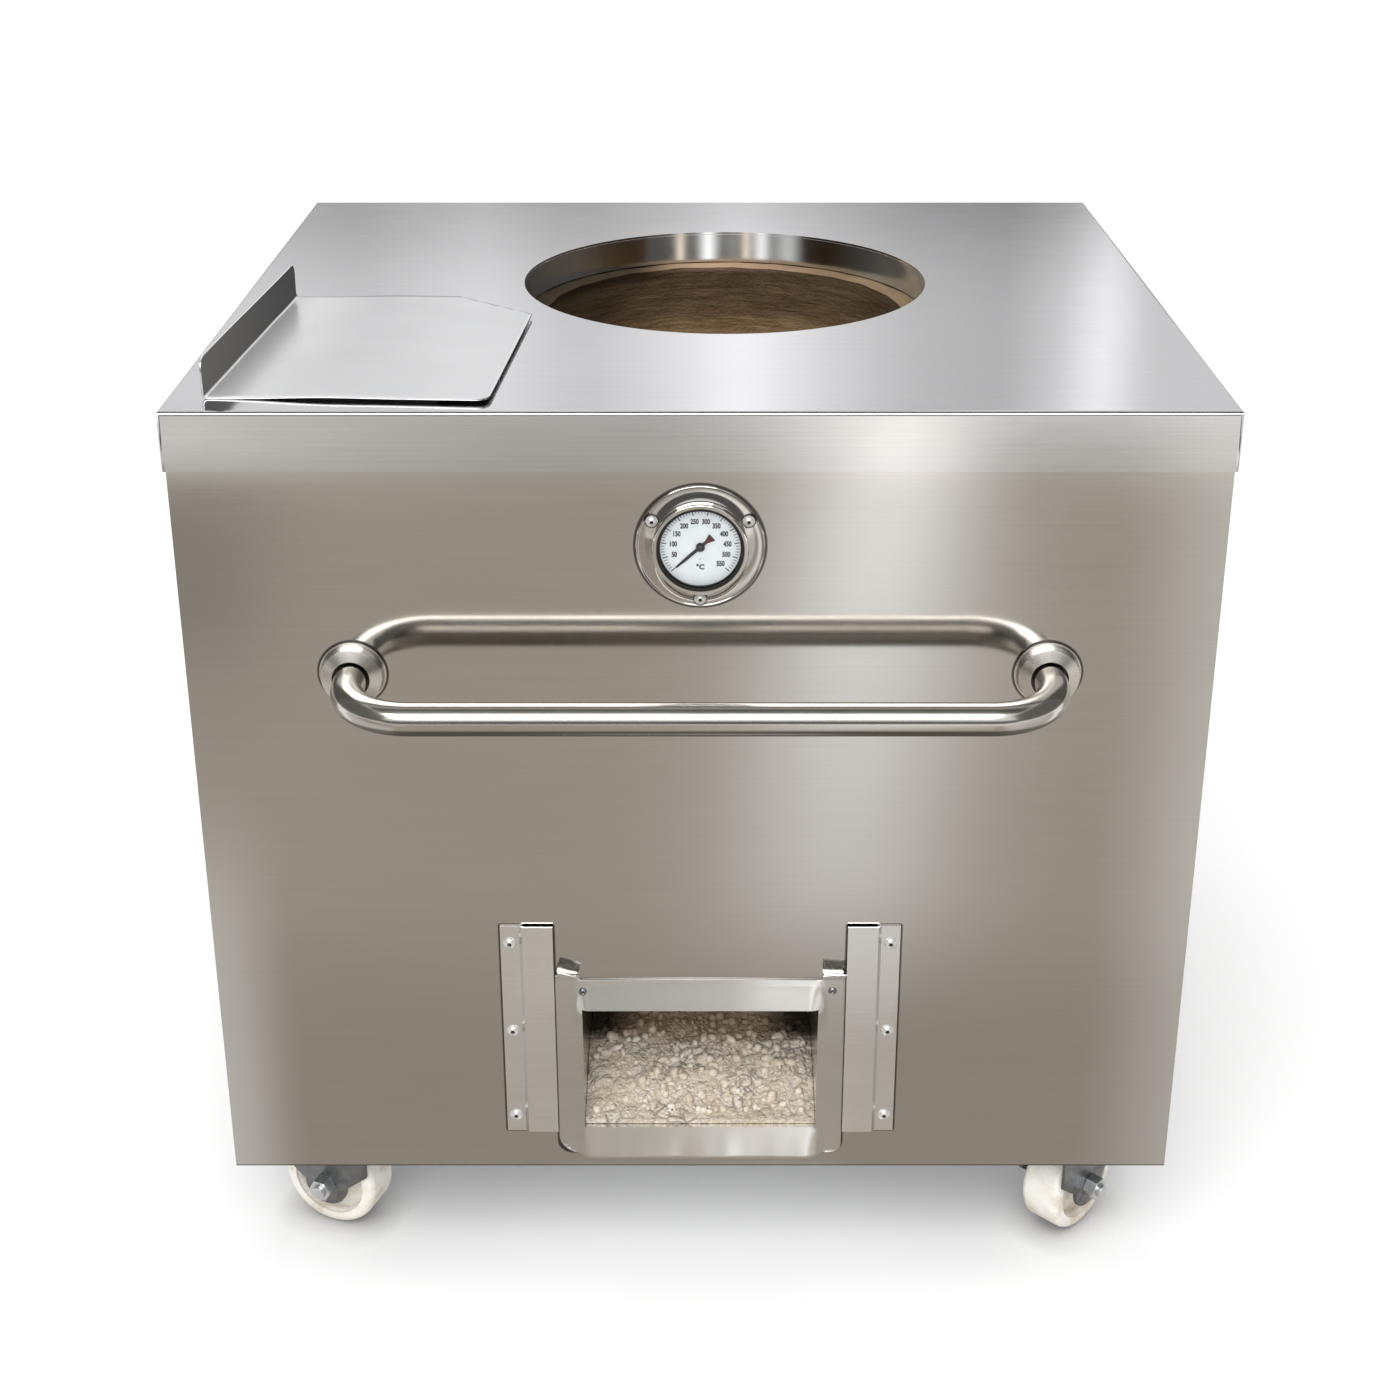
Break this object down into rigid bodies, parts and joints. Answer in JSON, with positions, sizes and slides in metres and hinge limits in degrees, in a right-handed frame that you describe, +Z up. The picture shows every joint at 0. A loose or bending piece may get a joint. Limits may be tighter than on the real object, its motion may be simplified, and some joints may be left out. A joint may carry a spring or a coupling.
{
  "type": "charcoal tandoor",
  "caption": "Floor-standing charcoal tandoor: round clay pot in a square stainless cabinet on swivel casters, with push handle, dial thermometer and low draft opening.",
  "frame": {"origin": "on the floor, under the middle of the bounding box", "axes": "+X to the right seen from the front, +Y from the front to the back, +Z up"},
  "size_m": [0.8, 0.7896, 0.812],
  "materials": {
    "top_steel": "satin",
    "panel_steel": "satin",
    "polished_steel": "polished",
    "zinc_steel": "satin",
    "clay": "matte",
    "hearth": "matte",
    "insulation": "matte",
    "ash": "matte",
    "gasket": "satin",
    "dial": "satin",
    "dial_glass": "gloss",
    "needle": "satin",
    "nylon": "satin"
  },
  "bodies": {
    "cabinet": {"top_plate": "top_steel", "front_panel": "panel_steel", "back_panel": "panel_steel", "left_panel": "panel_steel", "right_panel": "panel_steel", "draft_tunnel": "panel_steel", "left_rail": "panel_steel", "right_rail": "panel_steel", "mouth_collar": "polished_steel", "gauge_flange": "polished_steel", "gauge_bezel": "polished_steel", "gauge_screws": "polished_steel", "handle_bar": "polished_steel", "handle_rosettes": "polished_steel", "corner_posts": "zinc_steel", "base_angles": "zinc_steel", "caster_bearers": "zinc_steel", "base_plate": "zinc_steel", "tunnel_screws": "zinc_steel", "rail_screws": "zinc_steel", "rail_nuts": "zinc_steel", "gauge_case": "zinc_steel", "gauge_probe": "zinc_steel", "gauge_coil": "zinc_steel", "handle_inserts": "zinc_steel", "handle_bolts": "zinc_steel", "caster_plates": "zinc_steel", "caster_bolts": "zinc_steel", "kingpins": "zinc_steel", "swivel_bearings": "zinc_steel", "clay_pot": "clay", "hearth_slab": "hearth", "insulation_fill": "insulation", "ash_bed": "ash", "gauge_gasket": "gasket", "gauge_dial": "dial", "gauge_glass": "dial_glass"},
    "shutter": {"draft_shutter": "top_steel"},
    "needle": {"gauge_needle": "needle"},
    "front_left_swivel": {"front_left_fork": "zinc_steel", "front_left_axle": "zinc_steel", "front_left_nut": "zinc_steel"},
    "front_left_roll": {"front_left_wheel": "nylon"},
    "front_right_swivel": {"front_right_fork": "zinc_steel", "front_right_axle": "zinc_steel", "front_right_nut": "zinc_steel"},
    "front_right_roll": {"front_right_wheel": "nylon"},
    "rear_left_swivel": {"rear_left_fork": "zinc_steel", "rear_left_axle": "zinc_steel", "rear_left_nut": "zinc_steel"},
    "rear_left_roll": {"rear_left_wheel": "nylon"},
    "rear_right_swivel": {"rear_right_fork": "zinc_steel", "rear_right_axle": "zinc_steel", "rear_right_nut": "zinc_steel"},
    "rear_right_roll": {"rear_right_wheel": "nylon"}
  },
  "joints": [
    {"name": "shutter_lift", "type": "slide", "parent": "cabinet", "child": "shutter", "axis": [0, 0, 1], "range_m": [0, 0.25]},
    {"name": "needle_sweep", "type": "hinge", "parent": "cabinet", "child": "needle", "pos_m": [0, -0.30215, 0.674], "axis": [0, 1, 0], "range_deg": [0, 264]},
    {"name": "front_left_caster_swivel", "type": "hinge", "parent": "cabinet", "child": "front_left_swivel", "pos_m": [-0.34, -0.22515, 0.092], "axis": [0, 0, 1], "continuous": true},
    {"name": "front_left_wheel_roll", "type": "hinge", "parent": "front_left_swivel", "child": "front_left_roll", "pos_m": [-0.32331, -0.23189, 0.045], "axis": [0.3746, 0.9272, 0], "continuous": true},
    {"name": "front_right_caster_swivel", "type": "hinge", "parent": "cabinet", "child": "front_right_swivel", "pos_m": [0.34, -0.22515, 0.092], "axis": [0, 0, 1], "continuous": true},
    {"name": "front_right_wheel_roll", "type": "hinge", "parent": "front_right_swivel", "child": "front_right_roll", "pos_m": [0.32772, -0.23831, 0.045], "axis": [0.7314, -0.682, 0], "continuous": true},
    {"name": "rear_left_caster_swivel", "type": "hinge", "parent": "cabinet", "child": "rear_left_swivel", "pos_m": [-0.34, 0.31485, 0.092], "axis": [0, 0, 1], "continuous": true},
    {"name": "rear_left_wheel_roll", "type": "hinge", "parent": "rear_left_swivel", "child": "rear_left_roll", "pos_m": [-0.33687, 0.29712, 0.045], "axis": [0.9848, 0.1736, 0], "continuous": true},
    {"name": "rear_right_caster_swivel", "type": "hinge", "parent": "cabinet", "child": "rear_right_swivel", "pos_m": [0.34, 0.31485, 0.092], "axis": [0, 0, 1], "continuous": true},
    {"name": "rear_right_wheel_roll", "type": "hinge", "parent": "rear_right_swivel", "child": "rear_right_roll", "pos_m": [0.33565, 0.29739, 0.045], "axis": [0.9703, -0.2419, 0], "continuous": true}
  ]
}
